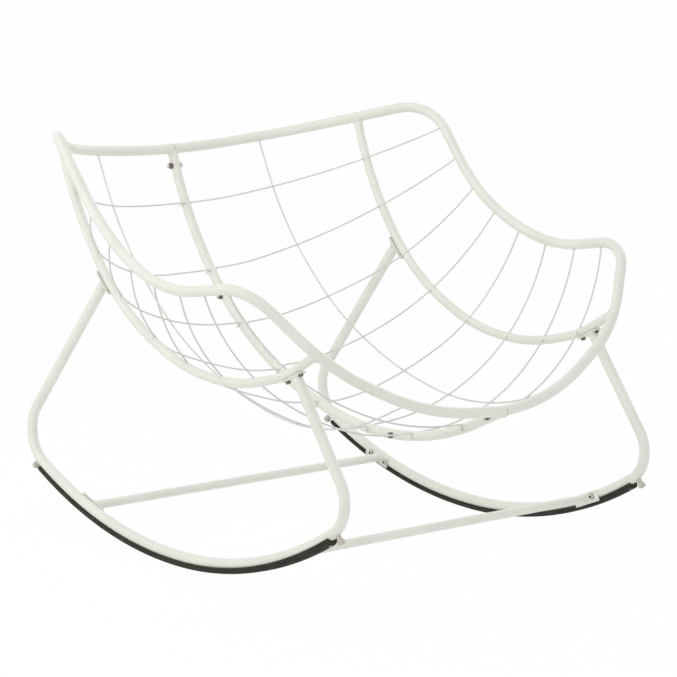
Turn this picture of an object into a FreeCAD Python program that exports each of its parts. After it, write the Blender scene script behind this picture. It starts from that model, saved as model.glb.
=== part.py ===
import FreeCAD, Part
import math
import os

# A rocking egg chair: two half shells of welded tube and wire, bolted together
# along the middle, carried by two bent rocker frames and two crossbars.
# Millimetres, +Z up, front of the chair towards -Y, origin on the floor.

os.makedirs("parts", exist_ok=True)
V = FreeCAD.Vector

# Rest pose: the whole chair rolled back about the rear arc until it balances,
# then moved so that the origin is under the middle of its outline
REST_PITCH = -2.7
REST_SHIFT = 27.4

# Driving sizes of the stock
RIM_OD = 25.0
RIB_OD = 22.0
INNER_RIB_OD = 24.0
ROCKER_OD = 25.0
CROSSBAR_OD = 21.0
TUBE_WALL = 1.5
WIRE_D = 4.0
RIM_SEAM = 1.6

# Right half of the rim: back seam, back rail, corner, arm, knuckle, front seam
RIM_CORNERS = [
    V(0, 617.5, 892), V(94, 617.5, 892), V(348, 581.5, 915), V(585, 297.5, 999),
    V(580, 101.5, 764.5), V(594, -133.5, 670.5), V(582, -363.5, 708), V(556, -429.5, 684.5),
    V(435, -524.5, 531.5), V(193, -580.5, 406.5), V(0, -617.5, 400.5)]
RIM_BENDS = [1080, 325, 120, 490, 400, 122, 106, 440, 590]

# Outer rib, in an upright plane that leans out a little towards the top
RIB_LEAN = 0.0172
RIB_CORNERS = [
    (445, 956), (385, 777.5), (205, 570.5), (-8.5, 470.5), (-210.5, 453.5),
    (-391.5, 499.5), (-503, 564)]
RIB_BENDS = [800, 550, 545, 540, 325]

# Inner rib, in the middle plane
INNER_CORNERS = [
    (619.5, 890), (545.5, 691.5), (342.5, 472), (110.5, 340.5), (-143.5, 280),
    (-404.5, 303.5), (-617.5, 400.5)]
INNER_BENDS = [900, 825, 900, 780, 770]

# Lengthways wire, in an upright plane between the two ribs
LONG_WIRE_X = 254.0
LONG_CORNERS = [
    (585.5, 898), (490, 699), (282, 494.5), (60, 384.5), (-170, 330), (-382, 350.5),
    (-560, 432)]
LONG_BENDS = [775, 750, 950, 600, 600]

# Where the eight cross wires of each half lie, as lengths along rim, outer rib, long wire
# and inner rib; the two halves were laid out by hand and are not quite alike
CROSS_ON_RIM = {"right": [774, 866, 959, 1052, 1143, 1239, 1343, 1442],
                "left": [828, 912, 1006, 1095, 1195, 1292, 1376, 1455]}
CROSS_ON_RIB = {"right": [111, 243, 393, 526, 678, 826, 957, 1084],
                "left": [131, 290, 422, 577, 707, 841, 962, 1089]}
CROSS_ON_LONG = {"right": [127, 298, 469, 630, 800, 969, 1120, 1250],
                 "left": [137, 333, 483, 646, 783, 1010, 1140, 1289]}
CROSS_ON_INNER = {"right": [144, 331, 521, 689, 874, 1047, 1217, 1336],
                  "left": [144, 336, 520, 701, 862, 1053, 1214, 1395]}

# End of a cross wire: level with the top of the inner rib, then bent down against its side
WIRE_END_RISE, WIRE_END_BEND, WIRE_END_DROP = 9.0, 6.0, 11.0

# Rocker frame: two arcs that meet at the lowest point, a bend at each end, a leg up to
# the outer rib; radius and angle of every bend, working outwards from the lowest point
ROCKER_X = 468.8
ROCKER_LEAN = 1.41
LOW_Y, LOW_Z = -23.0, 25.7
REAR_ARC, REAR_HEEL = (1204.5, 27.7), (88.0, 101.6)
FRONT_ARC, FRONT_TOE = (1071.0, 30.5), (81.0, 95.6)
REAR_PLATE_ON_RIB = 362
FRONT_PLATE_ON_RIB = 1108
PLATE = (70.0, 25.0, 3.0)
PLATE_BOLT_OFFSET = 25.0

# Rubber strip and the stops at its ends, as lengths past the start of the end bends
STRIP_WIDTH, STRIP_DEPTH, STRIP_LIP = 25.4, 10.0, 3.5
STRIP_PAST_BEND, STRIP_NOTCH_R, SCREW_PAST_BEND = 8.0, 12.5, -20.0
STOP_PAST_BEND, STOP_HEAD_D, STOP_STEM_D, STOP_REACH = 15.0, 18.0, 12.0, 33.0

# Crossbars, by their angle along the rocker arcs
REAR_BAR_AT, FRONT_BAR_AT = 17.8, -21.6
FLANGE = (80.0, 22.0, 3.0)
FLANGE_BOLT_OFFSET = 28.0

# Fasteners
BOLT_D, HEX_ACROSS, HEX_HEAD = 6.0, 10.0, 4.0
RIB_BOLT_D, RIB_HEX_ACROSS, RIB_HEX_HEAD, RIB_NUT, RIB_BOLT_END = 8.0, 13.0, 5.3, 6.5, 5.0
INNER_BOLTS_AT = [42, 425, 1140, 1490]


def corner_arc(first, corner, last):
    """Arc that leaves first towards corner and arrives at last coming from corner."""
    back = (first - corner).normalize()
    on = (last - corner).normalize()
    half = back.getAngle(on) / 2
    if half > math.radians(89.9):
        return Part.LineSegment(first, last).toShape()
    reach = (first - corner).Length
    apex = corner + (back + on).normalize() * (reach / math.cos(half) - reach * math.tan(half))
    return Part.Arc(first, apex, last).toShape()


def bent_path(corners, bends):
    """Straight runs joined by tangent arcs, as a tube bender makes them."""
    edges = []
    start = corners[0]
    for before, corner, after, radius in zip(corners, corners[1:], corners[2:], bends):
        back = (before - corner).normalize()
        on = (after - corner).normalize()
        reach = radius / math.tan(back.getAngle(on) / 2)
        first = corner + back * reach
        if (first - start).Length > 0.01:
            edges.append(Part.LineSegment(start, first).toShape())
        start = corner + on * reach
        edges.append(corner_arc(first, corner, start))
    edges.append(Part.LineSegment(start, corners[-1]).toShape())
    return Part.Wire(edges)


def smooth_path(points, last_direction):
    """Two tangent arcs between each pair of points, so one smooth curve meets them all."""
    arcs = [Part.Arc(*points[i:i + 3]).toShape() for i in range(len(points) - 2)]
    ways = [arcs[0].tangentAt(arcs[0].FirstParameter)]
    for arc, point in zip(arcs, points[1:]):
        ways.append(arc.tangentAt(arc.Curve.parameter(point)))
    ways.append(last_direction)
    edges = []
    for start, end, leave, arrive in zip(points, points[1:], ways, ways[1:]):
        gap = end - start
        both = gap.dot(leave + arrive)
        bend = 2 * (1 - leave.dot(arrive))
        reach = gap.dot(gap) / (both + math.sqrt(both ** 2 + bend * gap.dot(gap)))
        first, second = start + leave * reach, end - arrive * reach
        middle = (first + second) * 0.5
        edges += [corner_arc(start, first, middle), corner_arc(middle, second, end)]
    return Part.Wire(edges)


def along(path, length):
    """Point and direction at a length along a path."""
    for edge in path.OrderedEdges:
        if length <= edge.Length:
            at = edge.getParameterByLength(length)
            return edge.valueAt(at), edge.tangentAt(at)
        length -= edge.Length
    edge = path.OrderedEdges[-1]
    return edge.valueAt(edge.LastParameter), edge.tangentAt(edge.LastParameter)


def sweep(path, diameter, wall=0):
    """Round bar along a path, hollow when a wall is given."""
    point, direction = along(path, 0)
    section = Part.Face(Part.Wire(Part.makeCircle(diameter / 2, point, direction)))
    if wall:
        bore = Part.Face(Part.Wire(Part.makeCircle(diameter / 2 - wall, point, direction)))
        section = section.cut(bore).Faces[0]
    return path.makePipe(section)


def rod(diameter, start, end):
    return Part.makeCylinder(diameter / 2, (end - start).Length, start, end - start)


def place(shape, point, x_axis, z_axis):
    """Move a shape drawn at the origin so its X and Z follow two directions."""
    z_axis = V(z_axis).normalize()
    y_axis = z_axis.cross(x_axis).normalize()
    x_axis = y_axis.cross(z_axis)
    moved = shape.copy()
    moved.Placement = FreeCAD.Placement(FreeCAD.Matrix(
        x_axis.x, y_axis.x, z_axis.x, point.x,
        x_axis.y, y_axis.y, z_axis.y, point.y,
        x_axis.z, y_axis.z, z_axis.z, point.z, 0, 0, 0, 1))
    return moved


def mirrored(shape):
    return shape.mirror(V(0, 0, 0), V(1, 0, 0))


def hexagon(across, height):
    radius = across / math.sqrt(3)
    corners = [V(radius * math.cos(a), radius * math.sin(a), 0)
               for a in [math.radians(60 * i) for i in range(7)]]
    prism = Part.Face(Part.makePolygon(corners)).extrude(V(0, 0, height))
    crown = Part.makeCone(across / 2 + height * 1.6, across / 2, height * 1.05)
    return prism.common(crown)


def hex_bolt(diameter, across, head, length):
    """Head above the seat at z = 0, shank below it."""
    shank = rod(diameter, V(0, 0, 0), V(0, 0, -length))
    return hexagon(across, head).fuse(shank).removeSplitter()


def button_bolt(length):
    """Domed head with a hexagon socket above z = 0, shank below it."""
    head = Part.makeCylinder(5.5, 3.4)
    head = head.common(Part.makeSphere(7.0, V(0, 0, -3.4)))
    socket = hexagon(4.0, 3.0).translated(V(0, 0, 1.3))
    return head.cut(socket).fuse(rod(BOLT_D, V(0, 0, 0), V(0, 0, -length))).removeSplitter()


def washer(outside, thick):
    return Part.makeCylinder(outside / 2, thick).cut(Part.makeCylinder(BOLT_D / 2 + 0.2, thick))


def insert_nut():
    """Flanged threaded insert set in a tube wall, body below z = 0."""
    body = Part.makeCylinder(4.5, 11.0, V(0, 0, -11.0)).fuse(Part.makeCylinder(6.0, 0.8))
    return body.cut(Part.makeCylinder(BOLT_D / 2, 14.0, V(0, 0, -12.0))).removeSplitter()


def save(name, shape):
    roll_centre = V(0, LOW_Y, LOW_Z + REAR_ARC[0])
    at_rest = shape.rotated(roll_centre, V(1, 0, 0), REST_PITCH)
    floor = LOW_Z - ROCKER_OD / 2 - STRIP_DEPTH
    at_rest = at_rest.translated(V(0, REST_SHIFT, -floor))
    at_rest.exportStep("parts/" + name + ".step")


def save_pair(name, right_shape):
    save("right_" + name, right_shape)
    save("left_" + name, mirrored(right_shape))


# Paths of the half shell
front_run = RIM_CORNERS[-1] - RIM_CORNERS[-2]
rim_path = bent_path(RIM_CORNERS[:-1] + [RIM_CORNERS[-2] + front_run * 1.04], RIM_BENDS)
rib_path = bent_path([V(455 + RIB_LEAN * (z - 471.5), y, z) for y, z in RIB_CORNERS], RIB_BENDS)
inner_path = bent_path([V(0, y, z) for y, z in INNER_CORNERS], INNER_BENDS)
long_path = bent_path([V(LONG_WIRE_X, y, z) for y, z in LONG_CORNERS], LONG_BENDS)


def inward(direction):
    """Normal of an upright curve that points into the bowl."""
    return V(0, direction.z, -direction.y).normalize()


# Rocker path: drawn upright in the YZ plane, leaned inwards afterwards
def on_arc(angle):
    """Point at an angle from the lowest point, positive towards the back."""
    radius = REAR_ARC[0] if angle > 0 else FRONT_ARC[0]
    a = math.radians(angle)
    return V(ROCKER_X, LOW_Y + radius * math.sin(a), LOW_Z + radius * (1 - math.cos(a)))


def leg_bend(arc, bend, sign):
    """End bend of one side: arc end, bend middle, leg foot; and the leg's direction."""
    first = math.radians(arc[1])
    last = math.radians(arc[1] + bend[1])
    end = on_arc(sign * arc[1])
    centre = end + V(0, -sign * math.sin(first), math.cos(first)) * bend[0]
    middle, foot = [centre + V(0, sign * math.sin(a), -math.cos(a)) * bend[0]
                    for a in ((first + last) / 2, last)]
    return end, middle, foot, V(0, sign * math.cos(last), math.sin(last))


def leaned(shape):
    return shape.rotated(V(ROCKER_X, 0, 0), V(0, 1, 0), -ROCKER_LEAN)


rear_end, rear_mid, rear_foot, rear_up = leg_bend(REAR_ARC, REAR_HEEL, 1)
front_end, front_mid, front_foot, front_up = leg_bend(FRONT_ARC, FRONT_TOE, -1)
rocker_path = Part.Wire([
    Part.LineSegment(rear_foot + rear_up * 520, rear_foot).toShape(),
    Part.Arc(rear_foot, rear_mid, rear_end).toShape(),
    Part.Arc(rear_end, on_arc(REAR_ARC[1] / 2), on_arc(0)).toShape(),
    Part.Arc(on_arc(0), on_arc(-FRONT_ARC[1] / 2), front_end).toShape(),
    Part.Arc(front_end, front_mid, front_foot).toShape(),
    Part.LineSegment(front_foot, front_foot + front_up * 320).toShape()])
rear_bend_at = sum(edge.Length for edge in rocker_path.OrderedEdges[:2])
front_bend_at = sum(edge.Length for edge in rocker_path.OrderedEdges[:4])

# Seats of the leg plates on the outer rib
plate_seats = {}
for name, at in (("rear", REAR_PLATE_ON_RIB), ("front", FRONT_PLATE_ON_RIB)):
    point, direction = along(rib_path, at)
    out = inward(direction) * -1
    plate_seats[name] = (point + out * (RIB_OD / 2), direction, out)

# Rim tubes, cut off square just short of the middle plane, and the pins that line up their ends
other_half = Part.makeBox(100, 2000, 2000, V(RIM_SEAM / 2 - 100, -1000, 0))
rim = sweep(rim_path, RIM_OD, TUBE_WALL).cut(other_half)
rim_full = sweep(rim_path, RIM_OD)
save_pair("rim_tube", rim)
pins = []
for at in (RIM_CORNERS[0], RIM_CORNERS[-1]):
    half = sweep(rim_path, RIM_OD - 2 * TUBE_WALL).common(Part.makeBox(30, 200, 200, at - V(0, 100, 100)))
    pins.append(half.fuse(mirrored(half)).removeSplitter())
save("rim_joint_pins", Part.makeCompound(pins))

# Outer ribs, coped to the rim and drilled for the leg plate inserts
rib = sweep(rib_path, RIB_OD, TUBE_WALL).cut(rim_full)
for point, direction, out in plate_seats.values():
    for offset in (-PLATE_BOLT_OFFSET, PLATE_BOLT_OFFSET):
        spot = point + direction * offset
        rib = rib.cut(rod(9.0, spot + out * 4, spot - out * 9))
save_pair("outer_rib", rib)

# Inner ribs: two half-round tubes that meet flat in the middle plane
point, direction = along(inner_path, 0)


def half_round(radius, flat):
    """Half disc across the start of the inner rib, flat side at x = flat."""
    reach = inward(direction) * math.sqrt(radius ** 2 - flat ** 2)
    top, bottom = point + V(flat, 0, 0) + reach, point + V(flat, 0, 0) - reach
    arc = Part.Arc(top, point + V(radius, 0, 0), bottom).toShape()
    return Part.Face(Part.Wire([arc, Part.LineSegment(bottom, top).toShape()]))


section = half_round(INNER_RIB_OD / 2, 0).cut(half_round(INNER_RIB_OD / 2 - TUBE_WALL, TUBE_WALL))
inner = inner_path.makePipe(section.Faces[0]).cut(rim_full)
for at in INNER_BOLTS_AT:
    spot, direction = along(inner_path, at)
    inner = inner.cut(rod(RIB_BOLT_D + 0.4, spot - V(30, 0, 0), spot + V(30, 0, 0)))
save_pair("inner_rib", inner)

# Lengthways wire
long_wire = sweep(long_path, WIRE_D).cut(rim_full)
save_pair("long_wire", long_wire)

# Cross wires: butted to the rim, laid over the outer rib and lengthways wire, with the inner
# end bent down against the side of the inner rib
beside = V(INNER_RIB_OD / 2 + WIRE_D / 2, 0, 0)
for side in ("right", "left"):
    for i in range(8):
        start = along(rim_path, CROSS_ON_RIM[side][i])[0]
        point, direction = along(rib_path, CROSS_ON_RIB[side][i])
        over_rib = point + inward(direction) * (RIB_OD / 2 + WIRE_D / 2)
        point, direction = along(long_path, CROSS_ON_LONG[side][i])
        over_long = point + inward(direction) * WIRE_D
        point, direction = along(inner_path, CROSS_ON_INNER[side][i])
        corner = point + beside + inward(direction) * WIRE_END_RISE
        bend_start = corner + V(WIRE_END_BEND, 0, 0)
        bend_end = corner - inward(direction) * WIRE_END_BEND
        tip = bend_end - inward(direction) * WIRE_END_DROP
        run = smooth_path([start, over_rib, over_long, bend_start], V(-1, 0, 0))
        wire_path = Part.Wire(run.OrderedEdges + [corner_arc(bend_start, corner, bend_end),
                                                  Part.LineSegment(bend_end, tip).toShape()])
        wire = sweep(wire_path, WIRE_D).cut(rim_full)
        save(side + "_cross_wire_%d" % (i + 1), wire if side == "right" else mirrored(wire))

# Rocker tubes, cut off at the leg plates, drilled for the crossbar inserts
rocker = leaned(sweep(rocker_path, ROCKER_OD, TUBE_WALL))
for point, direction, out in plate_seats.values():
    block = Part.makeBox(300, 300, 600, V(-150, -150, -600))
    rocker = rocker.cut(place(block, point + out * PLATE[2], direction, out))
inner_face = ROCKER_X - ROCKER_OD / 2
bars = {"rear": on_arc(REAR_BAR_AT), "front": on_arc(FRONT_BAR_AT)}
flange_spots = {}
for name, at, radius in (("rear", REAR_BAR_AT, REAR_ARC[0]), ("front", FRONT_BAR_AT, FRONT_ARC[0])):
    swing = math.degrees(FLANGE_BOLT_OFFSET / radius)
    flange_spots[name] = [on_arc(at - swing), on_arc(at + swing)]
    for spot in flange_spots[name]:
        rocker = rocker.cut(leaned(rod(9.0, spot, spot - V(30, 0, 0))))

# Leg plates with their bolts, washers and inserts
bolts, washers, inserts = [], [], []
for name, (point, direction, out) in plate_seats.items():
    long_side, wide, thick = PLATE
    plate = Part.makeBox(long_side, wide, thick, V(-long_side / 2, -wide / 2, 0))
    plate = plate.makeFillet(8.0, [e for e in plate.Edges if abs(e.tangentAt(0).z) > 0.9])
    for offset in (-PLATE_BOLT_OFFSET, PLATE_BOLT_OFFSET):
        plate = plate.cut(Part.makeCylinder(6.1, 0.8, V(offset, 0, 0)))
        plate = plate.cut(Part.makeCylinder(BOLT_D / 2 + 0.2, 5, V(offset, 0, -1)))
        spot = point + direction * offset
        inserts.append(place(insert_nut(), spot, direction, out))
        washers.append(place(washer(13.0, 1.2), spot + out * thick, direction, out))
        bolts.append(place(hex_bolt(BOLT_D, HEX_ACROSS, HEX_HEAD, 18.0), spot + out * (thick + 1.2),
                           direction, out))
    save_pair(name + "_leg_plate", place(plate, point, direction, out))
save("leg_bolts", Part.makeCompound(bolts + [mirrored(b) for b in bolts]))
save("leg_washers", Part.makeCompound(washers + [mirrored(b) for b in washers]))
save("leg_inserts", Part.makeCompound(inserts + [mirrored(b) for b in inserts]))

# Crossbars and the flanges that bolt them to the inner sides of the rockers
bolts, washers, inserts = [], [], []
for name, centre in bars.items():
    long_side, wide, thick = FLANGE
    first, second = flange_spots[name]
    middle = (first + second) * 0.5
    direction = (second - first).normalize()
    seat = V(inner_face, middle.y, middle.z)
    flange = Part.makeBox(long_side, wide, thick, V(-long_side / 2, -wide / 2, 0))
    flange = flange.makeFillet(10.0, [e for e in flange.Edges if abs(e.tangentAt(0).z) > 0.9])
    for offset in (-FLANGE_BOLT_OFFSET, FLANGE_BOLT_OFFSET):
        flange = flange.cut(Part.makeCylinder(6.1, 0.8, V(offset, 0, 0)))
        flange = flange.cut(Part.makeCylinder(BOLT_D / 2 + 0.2, 5, V(offset, 0, -1)))
        spot = seat + direction * offset
        inserts.append(leaned(place(insert_nut(), spot, direction, V(-1, 0, 0))))
        washers.append(leaned(place(washer(13.0, 1.2), spot - V(thick, 0, 0), direction, V(-1, 0, 0))))
        bolts.append(leaned(place(button_bolt(16.0), spot - V(thick + 1.2, 0, 0), direction, V(-1, 0, 0))))
    flange = leaned(place(flange, seat, direction, V(-1, 0, 0)))
    save_pair(name + "_flange", flange)
    ends = V(-inner_face, centre.y, centre.z), V(inner_face, centre.y, centre.z)
    bar = rod(CROSSBAR_OD, *ends).cut(rod(CROSSBAR_OD - 2 * TUBE_WALL, *ends))
    stop_block = leaned(Part.makeBox(60, 200, 200, ends[1] - V(thick, 100, 100)))
    bar = bar.cut(stop_block).cut(mirrored(stop_block))
    save(name + "_crossbar", bar)
save("crossbar_bolts", Part.makeCompound(bolts + [mirrored(b) for b in bolts]))
save("crossbar_washers", Part.makeCompound(washers + [mirrored(b) for b in washers]))
save("crossbar_inserts", Part.makeCompound(inserts + [mirrored(b) for b in inserts]))

# Rubber strips: a grooved runner under each rocker, slightly crowned underneath
deep = ROCKER_OD / 2 + STRIP_DEPTH
lip = ROCKER_OD / 2 - STRIP_LIP
groove = math.sqrt((ROCKER_OD / 2) ** 2 - lip ** 2)
half = STRIP_WIDTH / 2


def under(length):
    """Point of the rocker path at a length, and the direction out of its underside."""
    point, direction = along(rocker_path, length)
    return point, V(0, -direction.z, direction.y)


def part_of(path, start, end):
    """The bends of a path between two lengths."""
    edges = []
    for edge in path.OrderedEdges:
        first, last = max(start, 0), min(end, edge.Length)
        if last - first > 0.01:
            edges.append(Part.Arc(*[edge.valueAt(edge.getParameterByLength(at))
                                    for at in (first, (first + last) / 2, last)]).toShape())
        start, end = start - edge.Length, end - edge.Length
    return Part.Wire(edges)


strip_start = rear_bend_at - STRIP_PAST_BEND
strip_path = part_of(rocker_path, strip_start, front_bend_at + STRIP_PAST_BEND)
centre, down = under(strip_start)


def strip_point(x, depth):
    return centre + V(x, 0, 0) + down * depth


outline = Part.Wire([
    Part.LineSegment(strip_point(-groove, lip), strip_point(-half, lip)).toShape(),
    Part.LineSegment(strip_point(-half, lip), strip_point(-half, deep - 3)).toShape(),
    Part.Arc(strip_point(-half, deep - 3), strip_point(-half + 0.8, deep - 1.6),
             strip_point(-half + 2.4, deep - 0.8)).toShape(),
    Part.Arc(strip_point(-half + 2.4, deep - 0.8), strip_point(0, deep),
             strip_point(half - 2.4, deep - 0.8)).toShape(),
    Part.Arc(strip_point(half - 2.4, deep - 0.8), strip_point(half - 0.8, deep - 1.6),
             strip_point(half, deep - 3)).toShape(),
    Part.LineSegment(strip_point(half, deep - 3), strip_point(half, lip)).toShape(),
    Part.LineSegment(strip_point(half, lip), strip_point(groove, lip)).toShape(),
    Part.Arc(strip_point(groove, lip), strip_point(0, ROCKER_OD / 2), strip_point(-groove, lip)).toShape()])
strip = strip_path.makePipe(Part.Face(outline))

# Screws that hold the strip ends, sunk flush, and round notches next to the stops
screws = []
for bend_at, sign in ((rear_bend_at, -1), (front_bend_at, 1)):
    point, down = under(bend_at + sign * SCREW_PAST_BEND)
    tip, seat = point + down * (ROCKER_OD / 2 - 5), point + down * (deep - 3.2)
    screw = rod(4.0, tip, seat).fuse(Part.makeCone(2.0, 4.5, 2.6, seat, down)).removeSplitter()
    slot = place(Part.makeBox(7, 1.0, 1.0, V(-3.5, -0.5, 0)), seat + down * 1.8, V(1, 0, 0), down)
    strip = strip.cut(screw)
    screws.append(leaned(screw.cut(slot)))
    rocker = rocker.cut(leaned(rod(4.0, tip, seat)))
    point, down = under(bend_at + sign * STOP_PAST_BEND)
    strip = strip.cut(rod(2 * STRIP_NOTCH_R, point, point + down * 60))
save_pair("glide_strip", leaned(strip))
save_pair("rocker_tube", rocker)
save("strip_screws", Part.makeCompound(screws + [mirrored(s) for s in screws]))

# End stops: rounded buffers under the tube just past each strip end
tube_full = sweep(rocker_path, ROCKER_OD)
for name, bend_at, sign in (("rear", rear_bend_at, -1), ("front", front_bend_at, 1)):
    root, down = under(bend_at + sign * STOP_PAST_BEND)
    neck = root + down * (STOP_REACH - 10)
    stop = rod(STOP_STEM_D, root, neck)
    head = rod(STOP_HEAD_D, neck, root + down * STOP_REACH)
    head = head.makeFillet(3.5, head.Edges[:1] + head.Edges[2:])
    stop = leaned(stop.fuse(head).removeSplitter().cut(tube_full))
    save_pair(name + "_stop", stop)

# Bolts from the right through the two inner ribs, and their nuts on the left
bolts, nuts = [], []
half = V(INNER_RIB_OD / 2, 0, 0)
bolt = hex_bolt(RIB_BOLT_D, RIB_HEX_ACROSS, RIB_HEX_HEAD, INNER_RIB_OD + RIB_NUT + RIB_BOLT_END)
nut = hexagon(RIB_HEX_ACROSS, RIB_NUT).cut(Part.makeCylinder(RIB_BOLT_D / 2, RIB_NUT * 2))
for at in INNER_BOLTS_AT:
    spot, direction = along(inner_path, at)
    bolts.append(place(bolt, spot + half, direction, V(1, 0, 0)))
    nuts.append(place(nut, spot - half, direction, V(-1, 0, 0)))
save("rib_bolts", Part.makeCompound(bolts))
save("rib_nuts", Part.makeCompound(nuts))
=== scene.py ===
import bmesh
import bpy
import math
import numpy as np
from mathutils import Matrix, Vector
from mathutils.bvhtree import BVHTree


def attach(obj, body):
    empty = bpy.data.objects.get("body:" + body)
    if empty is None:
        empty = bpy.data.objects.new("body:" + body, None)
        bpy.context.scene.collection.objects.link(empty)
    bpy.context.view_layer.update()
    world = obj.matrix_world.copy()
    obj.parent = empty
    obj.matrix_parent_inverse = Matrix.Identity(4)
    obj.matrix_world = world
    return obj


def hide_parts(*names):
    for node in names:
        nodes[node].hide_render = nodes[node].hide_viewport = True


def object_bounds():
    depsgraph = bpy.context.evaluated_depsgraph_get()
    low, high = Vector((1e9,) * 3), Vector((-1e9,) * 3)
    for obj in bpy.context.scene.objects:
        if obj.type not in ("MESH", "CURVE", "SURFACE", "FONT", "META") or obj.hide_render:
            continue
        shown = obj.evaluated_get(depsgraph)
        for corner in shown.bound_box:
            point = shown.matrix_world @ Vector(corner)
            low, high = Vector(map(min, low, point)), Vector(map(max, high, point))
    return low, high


# The chair as it is welded, coated and bolted together. Metres, front towards -Y, floor at z = 0.
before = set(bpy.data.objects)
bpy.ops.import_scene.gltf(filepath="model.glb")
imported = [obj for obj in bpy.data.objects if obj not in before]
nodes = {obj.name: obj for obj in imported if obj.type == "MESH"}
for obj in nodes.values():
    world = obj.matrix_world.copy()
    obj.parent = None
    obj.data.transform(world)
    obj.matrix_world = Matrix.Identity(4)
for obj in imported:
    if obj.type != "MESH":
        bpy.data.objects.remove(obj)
cad_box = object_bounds()

# Rim and ribs
# Bent steel tube: one rim tube and one outer rib for each half, and half-round inner ribs that
# meet in the middle. Everything welded is coated together in one satin, warm-white powder coat.
SIDES = ("left", "right")
COAT_THICK, COAT_THIN = (0.83, 0.826, 0.765, 1), (0.79, 0.785, 0.72, 1)
SPECK_COLOUR, SPECK_SHARE, SPECK_RANGE = (0.74, 0.73, 0.66, 1), 0.08, (0.45, 0.75)
CLOUD_SIZE, SPECK_SIZE = 0.09, 0.004
COAT_ROUGHNESS, CLOUD_ROUGHNESS = 0.24, 0.12
NOISE_LOW, NOISE_HIGH = 0.3, 0.7
PEEL_FINE, PEEL_COARSE = 0.0018, 0.006
PEEL_DEPTH, PEEL_STRENGTH = 0.0003, 0.05


class Signal:
    """One output of a shader tree, which can be used in sums and products or passed on."""

    def __init__(self, socket):
        self.socket = socket

    def node(self, kind, inputs, out=0, **settings):
        """A new node in the same tree: its settings first, then the values or links of its sockets."""
        tree = self.socket.id_data
        made = tree.nodes.new(kind)
        for name, value in settings.items():
            setattr(made, name, value)
        for key, value in inputs.items():
            if isinstance(value, Signal):
                tree.links.new(value.socket, made.inputs[key])
            else:
                made.inputs[key].default_value = value
        return Signal(made.outputs[out])

    def math(self, operation, first, second):
        return self.node("ShaderNodeMath", {0: first, 1: second}, operation=operation)

    def __add__(self, other):
        return self.math("ADD", self, other)

    def __radd__(self, other):
        return self.math("ADD", other, self)

    def __mul__(self, other):
        return self.math("MULTIPLY", self, other)

    def steps(self, low=NOISE_LOW, high=NOISE_HIGH):
        """0 below low, 1 above high, smooth between."""
        return self.node("ShaderNodeMapRange", {0: self, 1: low, 2: high}, interpolation_type="SMOOTHSTEP")

    def stretched(self, scale):
        """This vector with each direction scaled."""
        return self.node("ShaderNodeMapping", {"Vector": self, "Scale": scale})

    def noise(self, size, detail=2.0):
        """Random spots of about the given size, around 0.5, over this vector."""
        return self.node("ShaderNodeTexNoise", {"Vector": self, "Scale": 1 / size, "Detail": detail})

    def mix(self, first, second):
        """Colour between two others, with this value as the share of the second."""
        return self.node("ShaderNodeMix", {0: self, 6: first, 7: second}, out=2, data_type="RGBA")


def new_finish(name, metallic=0.0):
    """A material with its shader, and the place on the surface as a signal."""
    material = bpy.data.materials.new(name)
    material.use_nodes = True
    shader = material.node_tree.nodes["Principled BSDF"]
    shader.inputs["Metallic"].default_value = metallic
    place = material.node_tree.nodes.new("ShaderNodeTexCoord").outputs["Object"]
    return material, shader, Signal(place)


def feed(shader, **signals):
    """Link signals to the shader's sockets; underscores in a name stand for spaces."""
    for name, signal in signals.items():
        shader.id_data.links.new(signal.socket, shader.inputs[name.replace("_", " ")])


def bumps(height, depth, strength):
    """Surface relief from a height between 0 and 1."""
    return height.node("ShaderNodeBump", {"Height": height, "Distance": depth, "Strength": strength})


def powder_coat(name, thick, thin):
    """Warm white, a little uneven in thickness, with the fine orange peel of baked powder."""
    material, shader, place = new_finish(name)
    thickness = place.noise(CLOUD_SIZE, detail=3.0)
    specks = place.noise(SPECK_SIZE).steps(*SPECK_RANGE)
    colour = thickness.steps().mix(thin, thick)
    colour = (specks * SPECK_SHARE).mix(colour, SPECK_COLOUR)
    peel = place.noise(PEEL_FINE) * 0.6 + place.noise(PEEL_COARSE) * 0.4
    feed(shader, Base_Color=colour, Roughness=COAT_ROUGHNESS + thickness * CLOUD_ROUGHNESS,
         Normal=bumps(peel, PEEL_DEPTH, PEEL_STRENGTH))
    return material


def give(material, *names):
    """Put one finish on CAD pieces."""
    for name in names:
        for slot in nodes[name].material_slots:
            slot.material = material


coat = powder_coat("powder_coat", COAT_THICK, COAT_THIN)
for side in SIDES:
    give(coat, side + "_rim_tube", side + "_outer_rib", side + "_inner_rib")

# Welds of the tubes
# A bead of weld metal runs round every tube end: ribs on the rim, legs on their plates and
# crossbars on their flanges. The coat fills it, so it shows as a soft, slightly rippled fillet.
ENDS = ("rear", "front")
SIGN = {"left": -1, "right": 1, "front": -1, "rear": 1}
RIMS = ("left_rim_tube", "right_rim_tube")
INNER_RIBS = ("left_inner_rib", "right_inner_rib")
BEAD_RADIUS, BEAD_STEP, BEAD_RIPPLE = 0.0026, 0.0014, 0.0055
BEAD_SIDES, BEAD_THIN, BEAD_FULL = 10, 0.85, 1.15
TOUCHING, LOOP_POINTS = 0.0004, 64
PAST_SEAM, OUTSIDE_SHARE = 1.5, 0.8
END_Y, BAR_END_X = 0.1, 0.3


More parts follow.
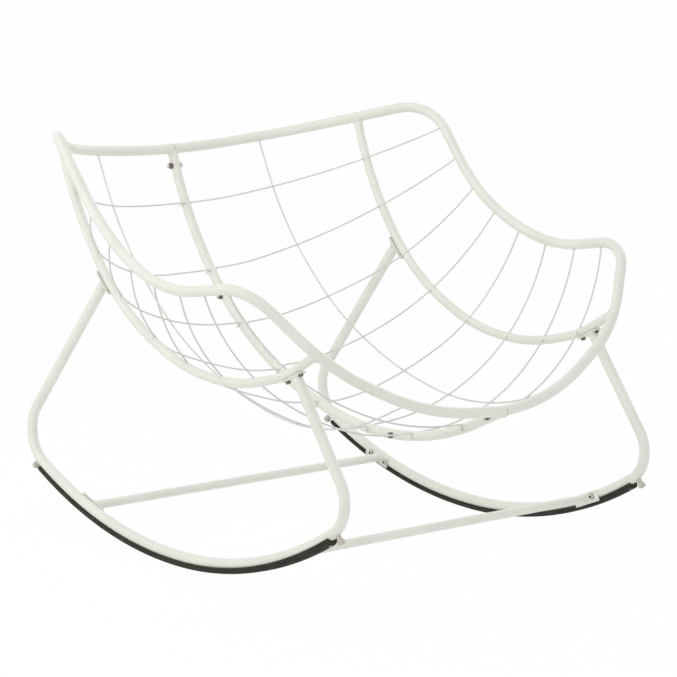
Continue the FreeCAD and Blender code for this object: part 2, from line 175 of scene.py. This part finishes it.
class Tree:
    """A Geometry Nodes tree with named sizes, built node by node."""

    def __init__(self, name, **sizes):
        self.tree = bpy.data.node_groups.new(name, "GeometryNodeTree")
        interface = self.tree.interface
        interface.new_socket("Geometry", in_out="INPUT", socket_type="NodeSocketGeometry")
        self.sizes = {}
        for size, value in sizes.items():
            socket = interface.new_socket(size, in_out="INPUT", socket_type="NodeSocketFloat")
            self.sizes[socket.identifier] = value
        interface.new_socket("Geometry", in_out="OUTPUT", socket_type="NodeSocketGeometry")
        self.given = self.tree.nodes.new("NodeGroupInput").outputs
        self.result = self.tree.nodes.new("NodeGroupOutput").inputs[0]

    def node(self, kind, inputs, out=0, **settings):
        """A new node: its settings first, then the values or links of its sockets."""
        made = self.tree.nodes.new(kind)
        for name, value in settings.items():
            setattr(made, name, value)
        for key, value in inputs.items():
            if isinstance(value, bpy.types.NodeSocket):
                self.tree.links.new(value, made.inputs[key])
            else:
                made.inputs[key].default_value = value
        return made.outputs[out]

    def close(self, mesh, material):
        """End the tree: real geometry, smooth, with its material."""
        real = self.node("GeometryNodeRealizeInstances", {0: mesh})
        smooth = self.node("GeometryNodeSetShadeSmooth", {0: real})
        last = self.node("GeometryNodeSetMaterial", {"Geometry": smooth, "Material": material})
        self.tree.links.new(last, self.result)

    def grow(self, name, guide, slot):
        """Run the tree on a guide mesh and keep the result as a piece of the chair."""
        holder = bpy.data.objects.new(name + "_guide", guide)
        bpy.context.scene.collection.objects.link(holder)
        modifier = holder.modifiers.new("grow", "NODES")
        modifier.node_group = self.tree
        for identifier, value in self.sizes.items():
            modifier[identifier] = value
        evaluated = holder.evaluated_get(bpy.context.evaluated_depsgraph_get())
        mesh = bpy.data.meshes.new_from_object(evaluated)
        bpy.data.objects.remove(holder)
        piece = bpy.data.objects.new(name, mesh)
        bpy.context.scene.collection.objects.link(piece)
        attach(piece, "root")


def surface(*names):
    """Search tree over the faces of CAD pieces."""
    points, faces = [], []
    for name in names:
        mesh = nodes[name].data
        first = len(points)
        points += [vertex.co.copy() for vertex in mesh.vertices]
        faces += [[first + i for i in polygon.vertices] for polygon in mesh.polygons]
    return BVHTree.FromPolygons(points, faces)


def weld_loop(pieces, onto, near):
    """Closed ring of points round the outside of a tube end, where it meets another piece."""
    target = surface(*onto)
    points = [vertex.co for name in pieces for vertex in nodes[name].data.vertices]
    seam = [point for point in points if near(point) and target.find_nearest(point, TOUCHING)[0]]
    centre = sum(seam, Vector()) / len(seam)
    spread = max((point - centre).length for point in seam)
    beyond = [point for point in points if (point - centre).length > spread * PAST_SEAM]
    beyond.sort(key=lambda point: (point - centre).length)
    axis = (sum(beyond[:LOOP_POINTS], Vector()) / LOOP_POINTS - centre).normalized()
    across = axis.orthogonal().normalized()
    over = axis.cross(across)
    outer = {}
    for point in seam:
        arm = point - centre
        flat = Vector((arm.dot(across), arm.dot(over)))
        key = int((math.atan2(flat.y, flat.x) / math.tau + 0.5) * LOOP_POINTS) % LOOP_POINTS
        if key not in outer or flat.length > outer[key][0]:
            outer[key] = (flat.length, point)
    widest = max(radius for radius, point in outer.values())
    ring = [outer[key] for key in sorted(outer)]
    return [point for radius, point in ring if radius > widest * OUTSIDE_SHARE]


def bead_tree():
    """Round bead along a ring of edges, thicker and thinner at random."""
    tree = Tree("weld_bead", radius=BEAD_RADIUS, step=BEAD_STEP, ripple=BEAD_RIPPLE)
    geometry, radius, step, ripple = list(tree.given)[:4]
    line = tree.node("GeometryNodeMeshToCurve", {0: geometry})
    line = tree.node("GeometryNodeCurveSplineType", {0: line}, spline_type="CATMULL_ROM")
    line = tree.node("GeometryNodeResampleCurve", {"Curve": line, "Length": step}, mode="LENGTH")
    place = tree.node("GeometryNodeInputPosition", {})
    scale = tree.node("ShaderNodeMath", {0: 1.0, 1: ripple}, operation="DIVIDE")
    wave = tree.node("ShaderNodeTexNoise", {"Vector": place, "Scale": scale, "Detail": 1.0})
    swell = tree.node("ShaderNodeMapRange",
                      {0: wave, 1: NOISE_LOW, 2: NOISE_HIGH, 3: BEAD_THIN, 4: BEAD_FULL})
    profile = tree.node("GeometryNodeCurvePrimitiveCircle", {"Resolution": BEAD_SIDES, "Radius": radius})
    mesh = tree.node("GeometryNodeCurveToMesh", {0: line, 1: profile, 2: swell})
    tree.close(mesh, coat)
    return tree


def guide_loops(name, loops):
    """Rings of edges as one mesh."""
    points, edges = [], []
    for loop in loops:
        first = len(points)
        points += loop
        edges += [(first + i, first + (i + 1) % len(loop)) for i in range(len(loop))]
    mesh = bpy.data.meshes.new(name)
    mesh.from_pydata(points, edges, [])
    return mesh


def at_end(end):
    """Test for the rear or front half of the chair."""
    return lambda point: SIGN[end] * point.y > END_Y


def at_bar_end(side):
    """Test for the left or right ends of the crossbars."""
    return lambda point: SIGN[side] * point.x > BAR_END_X


shell_loops = [weld_loop(INNER_RIBS, RIMS, at_end(end)) for end in ENDS]
base_loops = []
for side in SIDES:
    for end in ENDS:
        corner = side + "_" + end
        shell_loops.append(weld_loop([side + "_outer_rib"], [side + "_rim_tube"], at_end(end)))
        base_loops.append(weld_loop([side + "_rocker_tube"], [corner + "_leg_plate"], at_end(end)))
        base_loops.append(weld_loop([end + "_crossbar"], [corner + "_flange"], at_bar_end(side)))
bead = bead_tree()
bead.grow("shell_welds", guide_loops("shell_welds", shell_loops), "cream_coat")
bead.grow("base_welds", guide_loops("base_welds", base_loops), "cream_coat")

# Wires of the shell
# Drawn steel wire, 4 mm thick: one lengthways and eight crossways in each half. The coat is
# thinner and greyer on wire. It gathers in a small fillet where the wires are spot welded.
CROSS_WIRES = ["%s_cross_wire_%d" % (side, i) for side in SIDES for i in range(1, 9)]
LONG_WIRES = [side + "_long_wire" for side in SIDES]
WIRE_THICK, WIRE_THIN = (0.72, 0.722, 0.70, 1), (0.66, 0.662, 0.64, 1)
DROP_RADIUS, DROP_SUBDIVISIONS = 0.0029, 3
END_STRETCH, CROSS_STRETCH = (1.15, 1.15, 1.0), (1.15, 0.95, 0.75)
LONG_STRETCH, TAIL_STRETCH = (1.0, 0.85, 0.8), (2.9, 1.05, 0.8)
NEAR_GAP, SAME_JOINT, WAY_LENGTH = 0.0003, 0.012, 0.015
WIRE_END_X = 0.5


def joint(wire, target, stretch, near=lambda point: True):
    """Place where a wire comes closest to a surface, its directions there and the fillet's proportions."""
    points = [vertex.co for vertex in nodes[wire].data.vertices]
    hits = [target.find_nearest(point) for point in points if near(point)]
    hits = [(touch, normal, gap) for touch, normal, index, gap in hits if touch]
    least = min(gap for touch, normal, gap in hits)
    close = [(touch, normal) for touch, normal, gap in hits if gap < least + NEAR_GAP]
    first = close[0][0]
    close = [(touch, normal) for touch, normal in close if (touch - first).length < SAME_JOINT]
    centre = sum((touch for touch, normal in close), Vector()) / len(close)
    normal = sum((normal for touch, normal in close), Vector()).normalized()
    arms = sorted((point - centre for point in points), key=lambda arm: arm.length)
    way = next(arm for arm in arms if arm.length > WAY_LENGTH).normalized()
    return centre, way, normal, stretch


def drop_tree():
    """A ball on every point, turned and stretched by the point's own values."""
    tree = Tree("weld_drop", radius=DROP_RADIUS)
    geometry, radius = list(tree.given)[:2]
    ball = tree.node("GeometryNodeMeshIcoSphere", {"Radius": radius, "Subdivisions": DROP_SUBDIVISIONS})

    def vector(name):
        return tree.node("GeometryNodeInputNamedAttribute", {"Name": name}, data_type="FLOAT_VECTOR")

    turn = tree.node("FunctionNodeAxesToRotation", {0: vector("normal_way"), 1: vector("wire_way")})
    drops = tree.node("GeometryNodeInstanceOnPoints",
                      {"Points": geometry, "Instance": ball, "Rotation": turn, "Scale": vector("stretch")})
    tree.close(drops, wire_coat)
    return tree


def guide_points(name, joints):
    """Joints as loose points that carry their directions and proportions."""
    mesh = bpy.data.meshes.new(name)
    mesh.from_pydata([item[0] for item in joints], [], [])
    for column, attribute in ((1, "wire_way"), (2, "normal_way"), (3, "stretch")):
        layer = mesh.attributes.new(attribute, "FLOAT_VECTOR", "POINT")
        layer.data.foreach_set("vector", [x for item in joints for x in item[column]])
    return mesh


wire_coat = powder_coat("wire_coat", WIRE_THICK, WIRE_THIN)
give(wire_coat, *CROSS_WIRES, *LONG_WIRES)
rims = surface(*RIMS)
inner_ribs = surface(*INNER_RIBS)
long_wires = surface(*LONG_WIRES)
outer_ribs = {side: surface(side + "_outer_rib") for side in SIDES}
joints = []
for wire in CROSS_WIRES:
    joints.append(joint(wire, rims, END_STRETCH, lambda point: abs(point.x) > WIRE_END_X))
    joints.append(joint(wire, outer_ribs[wire.split("_")[0]], CROSS_STRETCH))
    joints.append(joint(wire, long_wires, LONG_STRETCH))
    joints.append(joint(wire, inner_ribs, TAIL_STRETCH))
for wire in LONG_WIRES:
    for end in ENDS:
        joints.append(joint(wire, rims, END_STRETCH, at_end(end)))
drop_tree().grow("wire_welds", guide_points("wire_welds", joints), "cream_coat")

# Base frame
# Two rocker tubes, each bent from one length of steel tube with a leg up at both ends, flat leg
# plates on top and two crossbars. Coated like the shell.
for side in SIDES:
    give(coat, side + "_rocker_tube")
    give(coat, *[side + "_" + end + "_leg_plate" for end in ENDS])
for end in ENDS:
    give(coat, end + "_crossbar")

# Flanges of the crossbars
# Flat steel plates sheared to length, welded across the bar ends and bolted to the rockers. They
# reach further towards the rocker's ends, the lower edge laps the rubber, the corners are just broken.
HALF_LENGTH, HALF_WIDTH = 0.040, 0.011
ROUND_CORNER, SHEARED_CORNER, ON_CORNER = 0.010, 0.003, 0.0002
REACH_OUT, REACH_IN = 0.009, -0.004
LAP_UP, LAP_DOWN = 0.001, 0.004


def middle_of(vertices):
    """Middle of the box round some vertices."""
    points = np.array([vertex.co for vertex in vertices])
    return Vector((points.max(axis=0) + points.min(axis=0)) / 2)


def plate_ways(mesh, centre):
    """Directions of a plate's length, towards its rocker's end, and of its width, downwards."""
    moments = np.zeros((3, 3))
    for face in mesh.polygons:
        corners = np.array([mesh.vertices[i].co - centre for i in face.vertices])
        total = corners.sum(axis=0)
        moments += face.area * (corners.T @ corners + np.outer(total, total))
    axes = np.linalg.eigh(moments)[1]
    along, down = Vector(axes[:, 2]), Vector(axes[:, 1])
    if along.y * centre.y < 0:
        along.negate()
    if down.z > 0:
        down.negate()
    return along, down


def sheared_flange(name):
    """The bolted plate with its outer end drawn out, its inner end drawn in and both squared off."""
    mesh = nodes[name].data.copy()
    centre = middle_of(mesh.vertices)
    along, down = plate_ways(mesh, centre)
    for vertex in mesh.vertices:
        arm = vertex.co - centre
        s, t = arm.dot(along), arm.dot(down)
        bend = Vector((abs(s) - HALF_LENGTH + ROUND_CORNER, abs(t) - HALF_WIDTH + ROUND_CORNER))
        if min(bend) < -ON_CORNER or abs(bend.length - ROUND_CORNER) > ON_CORNER:
            continue
        way = bend.normalized()
        reach = REACH_OUT if s > 0 else REACH_IN
        lap = LAP_DOWN if t > 0 else LAP_UP
        new_s = HALF_LENGTH + reach - SHEARED_CORNER * (1 - way.x)
        new_t = HALF_WIDTH + lap - SHEARED_CORNER * (1 - way.y)
        vertex.co += along * (math.copysign(new_s, s) - s) + down * (math.copysign(new_t, t) - t)
    mesh.materials.clear()
    mesh.materials.append(coat)
    piece = bpy.data.objects.new(name + "_plate", mesh)
    bpy.context.scene.collection.objects.link(piece)
    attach(piece, "root")
    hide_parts(name)


for side in SIDES:
    for end in ENDS:
        sheared_flange(side + "_" + end + "_flange")

# Runner strips
# Black rubber saddled under each rocker arc, taller on the outer side and towards the front, with a
# shallow screw channel along the tread and a hollow at each end that clears the stop. Finely grooved.
ROCKER_X, ROCKER_LEAN = 0.4688, math.radians(-1.41)
LOW_Y, LOW_Z = -0.0230, 0.0257
REAR_RADIUS, REAR_END = 1.2045, 0.577
FRONT_RADIUS, FRONT_END = 1.0710, -0.564
HOLLOW_RADIUS, HOLLOW_DEPTH = 0.0150, 0.0065
TREAD_DEPTH, SADDLE_RADIUS = 0.0224, 0.0123
RISE_START, RISE_LENGTH, FRONT_RISE = -0.12, 0.38, 0.2
OUTER_HALF = [(0, 0.0217), (0.0046, 0.0217), (0.0052, 0.0224), (0.0086, 0.0223), (0.0104, 0.0216),
              (0.0118, 0.0202), (0.0129, 0.0180), (0.0137, 0.0150), (0.0141, 0.0118), (0.0139, 0.0094),
              (0.0130, 0.0088), (0.0090, 0.0087), (0, 0.0123)]
INNER_HALF = [(0, 0.0217), (0.0046, 0.0217), (0.0052, 0.0224), (0.0072, 0.0222), (0.0090, 0.0214),
              (0.0105, 0.0199), (0.0118, 0.0178), (0.0129, 0.0152), (0.0136, 0.0128), (0.0134, 0.0116),
              (0.0126, 0.0110), (0.0064, 0.0108), (0, 0.0123)]
STRIP_STEPS = 160
CREASE = math.radians(35)
RUBBER, RUBBER_BLOOM = (0.021, 0.018, 0.013, 1), (0.040, 0.035, 0.027, 1)
GROOVE_COLOUR, GROOVE_SHARE, GROOVE_RANGE = (0.070, 0.062, 0.049, 1), 0.35, (0.5, 0.7)
GROOVE_STRETCH, GROOVE_SIZE = (1.0, 0.02, 0.1), 0.0014
RUBBER_GRAIN, BLOOM_SIZE, BLOOM_RANGE = 0.0008, 0.03, (0.35, 0.75)
GROOVE_DEPTH, GROOVE_STRENGTH = 0.0004, 0.35
RUBBER_SHEEN, RUBBER_ROUGHNESS, BLOOM_ROUGHNESS = 0.25, 0.6, 0.2

# The chair rests rolled back a little on its rear arcs
ROLL_CENTRE, ROLL = Vector((0, -0.0230, 1.2302)), math.radians(-2.7)
ROLL_SHIFT = Vector((0, 0.0274, -0.0032))
at_rest = Matrix.Translation(ROLL_SHIFT + ROLL_CENTRE) @ Matrix.Rotation(ROLL, 4, "X")
at_rest = at_rest @ Matrix.Translation(-ROLL_CENTRE)
lean = Matrix.Translation((ROCKER_X, 0, 0)) @ Matrix.Rotation(ROCKER_LEAN, 4, "Y")
lean = lean @ Matrix.Translation((-ROCKER_X, 0, 0))


def under_rocker(x, depth, length):
    """Point at a length along the right rocker from its lowest spot, below the tube's middle."""
    radius = REAR_RADIUS if length > 0 else FRONT_RADIUS
    angle = length / radius
    y = LOW_Y + (radius + depth) * math.sin(angle)
    z = LOW_Z + radius - (radius + depth) * math.cos(angle)
    return at_rest @ lean @ Vector((ROCKER_X + x, y, z))


def lipped(x, depth, length):
    """Profile point at a length along the strip: the lips rise towards the front end."""
    if x == 0:
        return x, depth
    rise = min(max((RISE_START - length) / RISE_LENGTH, 0), 1)
    taller = 1 + FRONT_RISE * rise * rise * (3 - 2 * rise)
    low = TREAD_DEPTH - (TREAD_DEPTH - depth) * taller
    if (abs(x), depth) in (OUTER_HALF[-2], INNER_HALF[-2]):
        x = math.copysign(math.sqrt(SADDLE_RADIUS ** 2 - low ** 2), x)
    return x, low


def runner_rubber():
    """Near black, with fine lengthways grooves and a brownish bloom."""
    material, shader, place = new_finish("runner_rubber")
    grooves = place.stretched(GROOVE_STRETCH).noise(GROOVE_SIZE)
    grain = place.noise(RUBBER_GRAIN)
    bloom = place.noise(BLOOM_SIZE, detail=4.0)
    colour = bloom.steps(*BLOOM_RANGE).mix(RUBBER, RUBBER_BLOOM)
    colour = (grooves.steps(*GROOVE_RANGE) * GROOVE_SHARE).mix(colour, GROOVE_COLOUR)
    shader.inputs["Specular IOR Level"].default_value = RUBBER_SHEEN
    feed(shader, Base_Color=colour, Roughness=RUBBER_ROUGHNESS + bloom * BLOOM_ROUGHNESS,
         Normal=bumps(grooves * 0.6 + grain * 0.4, GROOVE_DEPTH, GROOVE_STRENGTH))
    return material


def runner_strip(side):
    """One strip: the profile drawn along the arc, with both ends hollowed and closed."""
    profile = OUTER_HALF + [(-x, depth) for x, depth in INNER_HALF[-2:0:-1]]
    strip = bmesh.new()
    lines = []
    for x, depth in profile:
        hollow = math.sqrt(HOLLOW_RADIUS ** 2 - x ** 2) - HOLLOW_RADIUS + HOLLOW_DEPTH
        first, last = FRONT_END + max(hollow, 0), REAR_END - max(hollow, 0)
        lengths = [first + (last - first) * i / STRIP_STEPS for i in range(STRIP_STEPS + 1)]
        points = [under_rocker(*lipped(x, depth, length), length) for length in lengths]
        lines.append([strip.verts.new((SIGN[side] * point.x, point.y, point.z)) for point in points])
    for one, two in zip(lines, lines[1:] + lines[:1]):
        for i in range(STRIP_STEPS):
            strip.faces.new((one[i], one[i + 1], two[i + 1], two[i]))
    half = len(OUTER_HALF)
    for i in (0, STRIP_STEPS):
        outer_side = [line[i] for line in lines[:half]]
        inner_side = [line[i] for line in lines[:1] + lines[:half - 2:-1]]
        for a, b, c, d in zip(outer_side, outer_side[1:], inner_side[1:], inner_side):
            strip.faces.new(list(dict.fromkeys((a, b, c, d))))
    bmesh.ops.recalc_face_normals(strip, faces=strip.faces)
    mesh = bpy.data.meshes.new(side + "_runner")
    strip.to_mesh(mesh)
    strip.free()
    mesh.set_sharp_from_angle(angle=CREASE)
    mesh.materials.append(rubber)
    piece = bpy.data.objects.new(side + "_runner", mesh)
    bpy.context.scene.collection.objects.link(piece)
    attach(piece, "root")
    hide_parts(side + "_glide_strip")


rubber = runner_rubber()
for side in SIDES:
    runner_strip(side)

# End stops
# Turned buffers of grey-beige plastic under the tube just past each strip end, matt with a
# slightly chalky face.
STOP_DARK, STOP_PALE = (0.50, 0.48, 0.41, 1), (0.58, 0.56, 0.49, 1)
CHALK_SIZE, CHALK_GRAIN = 0.006, 0.0006
CHALK_DEPTH, CHALK_STRENGTH = 0.0003, 0.3
STOP_ROUGHNESS, CHALK_ROUGHNESS = 0.42, 0.2


def stop_plastic():
    """Grey-beige, clouded, with a fine grain."""
    material, shader, place = new_finish("stop_plastic")
    chalk = place.noise(CHALK_SIZE, detail=3.0)
    grain = place.noise(CHALK_GRAIN)
    feed(shader, Base_Color=chalk.steps().mix(STOP_DARK, STOP_PALE),
         Roughness=STOP_ROUGHNESS + chalk * CHALK_ROUGHNESS,
         Normal=bumps(grain, CHALK_DEPTH, CHALK_STRENGTH))
    return material


buffer = stop_plastic()
for side in SIDES:
    give(buffer, *[side + "_" + end + "_stop" for end in ENDS])

# Fasteners
# Darkened steel bolts at the legs and nuts at the inner ribs. The pins inside the rim take the same
# dark steel as painted shade, so the seam between the rim halves reads as a dark gap. The washers are
# dull zinc; the rib bolts, strip screws and threaded inserts are brighter.
STEEL_DARK, STEEL_PALE = (0.10, 0.095, 0.085, 1), (0.24, 0.225, 0.20, 1)
ZINC_DARK, ZINC_PALE = (0.46, 0.45, 0.42, 1), (0.68, 0.67, 0.63, 1)
DULL_DARK, DULL_PALE = (0.22, 0.21, 0.19, 1), (0.40, 0.385, 0.355, 1)
TARNISH_SIZE, TARNISH_ROUGHNESS = 0.0035, 0.22
SCRATCH_STRETCH, SCRATCH_SIZE = (1.0, 0.15, 1.0), 0.0004
SCRATCH_DEPTH, SCRATCH_STRENGTH = 0.0002, 0.25


def plated_steel(name, dark, pale, roughness):
    """Metal with cloudy tarnish and fine scratches."""
    material, shader, place = new_finish(name, metallic=1.0)
    tarnish = place.noise(TARNISH_SIZE, detail=4.0)
    scratches = place.stretched(SCRATCH_STRETCH).noise(SCRATCH_SIZE)
    feed(shader, Base_Color=tarnish.steps().mix(dark, pale),
         Roughness=roughness + tarnish * TARNISH_ROUGHNESS,
         Normal=bumps(scratches, SCRATCH_DEPTH, SCRATCH_STRENGTH))
    return material


dark_steel = plated_steel("dark_steel", STEEL_DARK, STEEL_PALE, roughness=0.3)
zinc = plated_steel("zinc_plate", ZINC_DARK, ZINC_PALE, roughness=0.22)
dull_zinc = plated_steel("dull_zinc", DULL_DARK, DULL_PALE, roughness=0.32)
# The rim's joint pins are dark as painted shade in the seam gap
give(dark_steel, "leg_bolts", "rib_nuts", "rim_joint_pins")
give(dull_zinc, "leg_washers", "crossbar_washers")
give(zinc, "rib_bolts", "strip_screws", "leg_inserts", "crossbar_inserts")

# Crossbar bolts
# Cold-headed mushroom bolts with a hexagon socket. The plating is tarnished, and the socket is
# painted nearly black as painted shade.
BOLT_WAY = {"left": Vector((1, -0.001, -0.025)), "right": Vector((-1, -0.001, -0.025))}
HEAD_HEIGHT, SHANK_RADIUS, SOCKET_RADIUS = 0.0034, 0.0033, 0.0027
HEAD_WIDER, HEAD_TALLER = 1.3, 1.7
ABOVE_SEAT, SAME_POINT = 0.0003, 0.000001
HEAD_DARK, HEAD_PALE = (0.36, 0.34, 0.30, 1), (0.60, 0.575, 0.52, 1)
# Painted shade: near-black colour of the sockets' faces
SOCKET_SHADE = (0.015, 0.013, 0.011, 1)
HEAD_ROUGHNESS, HEAD_UNEVEN = 0.28, 0.2


def socket_steel():
    """Tarnished metal, with painted shade that makes the sockets nearly black."""
    material, shader, place = new_finish("socket_steel", metallic=1.0)
    tarnish = place.noise(TARNISH_SIZE, detail=4.0)
    # 1 on the sockets' faces, which take painted shade instead of the tarnish
    socket_shade = place.node("ShaderNodeAttribute", {}, out=2, attribute_name="socket_shade")
    colour = socket_shade.mix(tarnish.steps().mix(HEAD_DARK, HEAD_PALE), SOCKET_SHADE)
    feed(shader, Base_Color=colour, Roughness=HEAD_ROUGHNESS + tarnish * HEAD_UNEVEN)
    return material


def widen_head(bolt, socket_shade):
    """Swell the head of one bolt and mark the faces of its socket for painted shade."""
    middle = middle_of(bolt)
    axis = BOLT_WAY["right" if middle.x > 0 else "left"].normalized()
    top = max((vertex.co - middle).dot(axis) for vertex in bolt)
    seat = middle + axis * (top - HEAD_HEIGHT)
    heights = {vertex: (vertex.co - seat).dot(axis) for vertex in bolt}
    arms = {vertex: vertex.co - seat - axis * heights[vertex] for vertex in bolt}
    in_socket = {vertex for vertex in bolt
                 if heights[vertex] > ABOVE_SEAT and arms[vertex].length < SOCKET_RADIUS}
    for vertex in bolt:
        for loop in vertex.link_loops:
            loop[socket_shade] = 1.0 if in_socket.issuperset(loop.face.verts) else 0.0
        if heights[vertex] > ABOVE_SEAT or arms[vertex].length > SHANK_RADIUS:
            vertex.co += arms[vertex] * (HEAD_WIDER - 1) + axis * heights[vertex] * (HEAD_TALLER - 1)


def mushroom_bolts():
    """All eight bolts, found one by one as joined groups of vertices."""
    bolts = bmesh.new()
    bolts.from_mesh(nodes["crossbar_bolts"].data)
    bmesh.ops.remove_doubles(bolts, verts=bolts.verts, dist=SAME_POINT)
    # Marks the socket faces that get painted shade
    socket_shade = bolts.loops.layers.float.new("socket_shade")
    left_over = set(bolts.verts)
    while left_over:
        bolt = {left_over.pop()}
        edge = bolt
        while edge:
            edge = {link.other_vert(vertex) for vertex in edge for link in vertex.link_edges} - bolt
            bolt = bolt | edge
        left_over -= bolt
        widen_head(bolt, socket_shade)
    mesh = bpy.data.meshes.new("crossbar_bolts")
    bolts.to_mesh(mesh)
    bolts.free()
    mesh.set_sharp_from_angle(angle=CREASE)
    mesh.materials.append(socket_steel())
    piece = bpy.data.objects.new("mushroom_bolts", mesh)
    bpy.context.scene.collection.objects.link(piece)
    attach(piece, "root")
    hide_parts("crossbar_bolts")


mushroom_bolts()

# Studio
# A plain white room: soft light from all round, a soft warm lamp close by on the left, weaker ones
# above and on the right, and a narrow one over the camera. The pale floor keeps a faint shadow.
FLOOR_SIZE, FLOOR_GREY, FLOOR_ROUGHNESS = 30.0, (0.93, 0.93, 0.93, 1), 0.9
GLOW_SHARE = 0.96
AMBIENT = 0.735


def seen_rays(tree):
    """1 for rays that show the surroundings as such: from the camera, mirrored or through glass."""
    path = tree.nodes.new("ShaderNodeLightPath").outputs
    rays = Signal(path["Is Camera Ray"]) + Signal(path["Is Glossy Ray"])
    return (rays + Signal(path["Is Transmission Ray"])).steps(0.0, 1.0)


def lamp(name, watts, tint, size, place):
    """Soft lamp turned towards the chair's middle."""
    light = bpy.data.lights.new(name, "AREA")
    light.energy = watts
    light.color = tint
    light.shape = "RECTANGLE"
    light.size, light.size_y = size
    holder = bpy.data.objects.new(name, light)
    holder.location = place
    chair_middle = (cad_box[0] + cad_box[1]) / 2
    holder.rotation_euler = (chair_middle - Vector(place)).to_track_quat("-Z", "Y").to_euler()
    bpy.context.scene.collection.objects.link(holder)


world = bpy.data.worlds.new("studio")
bpy.context.scene.world = world
world.use_nodes = True
background = world.node_tree.nodes["Background"]
background.inputs["Color"].default_value = (1, 1, 1, 1)
feed(background, Strength=AMBIENT + seen_rays(world.node_tree) * (1 - AMBIENT))

floor_paint = bpy.data.materials.new("floor_paint")
floor_paint.use_nodes = True
paint_tree = floor_paint.node_tree
paint = paint_tree.nodes["Principled BSDF"]
paint.inputs["Base Color"].default_value = FLOOR_GREY
paint.inputs["Roughness"].default_value = FLOOR_ROUGHNESS
glow = paint_tree.nodes.new("ShaderNodeEmission")
shown = seen_rays(paint_tree) * GLOW_SHARE
layers = {0: shown, 1: Signal(paint.outputs[0]), 2: Signal(glow.outputs[0])}
feed(paint_tree.nodes["Material Output"], Surface=shown.node("ShaderNodeMixShader", layers))

reach = FLOOR_SIZE / 2
floor_mesh = bpy.data.meshes.new("floor")
floor_mesh.from_pydata([(-reach, -reach, 0), (reach, -reach, 0), (reach, reach, 0), (-reach, reach, 0)],
                       [], [(0, 1, 2, 3)])
floor_mesh.materials.append(floor_paint)
floor = bpy.data.objects.new("floor", floor_mesh)
bpy.context.scene.collection.objects.link(floor)

lamp("left_lamp", watts=14.5, tint=(1, 0.965, 0.90), size=(2.0, 2.0), place=(-2.5, 0.8, 1.6))
lamp("top_lamp", watts=8.0, tint=(1, 1, 0.98), size=(1.8, 1.8), place=(-0.7, 0.5, 2.9))
lamp("right_lamp", watts=16.0, tint=(0.97, 0.99, 1), size=(2.5, 2.5), place=(4.2, 1.2, 2.2))
lamp("front_lamp", watts=15.0, tint=(0.96, 0.985, 1), size=(2.6, 0.4), place=(-1.5, -4.0, 2.5))

# Camera
# Stands in front and to the left with a long lens. It was set up against the upright chair, so it
# takes the same small roll as the chair does when it comes to rest.
AZIMUTH, ELEVATION = math.radians(-39.98), math.radians(9.56)
AIM = Vector((0, -0.0125, 0.5278))
AIM_RIGHT, AIM_UP = 0.0134, -0.0384
CAMERA_DISTANCE, LENS, FAR_END = 8.1137, 180.23, 100
rightwards = Vector((math.cos(AZIMUTH), math.sin(AZIMUTH), 0))
backwards = Vector((math.sin(AZIMUTH), -math.cos(AZIMUTH), 0)) * math.cos(ELEVATION)
backwards.z = math.sin(ELEVATION)
upwards = backwards.cross(rightwards)
stand = Matrix((rightwards, upwards, backwards)).transposed().to_4x4()
stand.translation = AIM + rightwards * AIM_RIGHT + upwards * AIM_UP + backwards * CAMERA_DISTANCE
camera_data = bpy.data.cameras.new("camera")
camera_data.lens = LENS
camera_data.clip_end = FAR_END
camera = bpy.data.objects.new("camera", camera_data)
camera.matrix_world = at_rest @ stand
bpy.context.scene.collection.objects.link(camera)
bpy.context.scene.camera = camera
bpy.context.scene.view_settings.view_transform = "Standard"
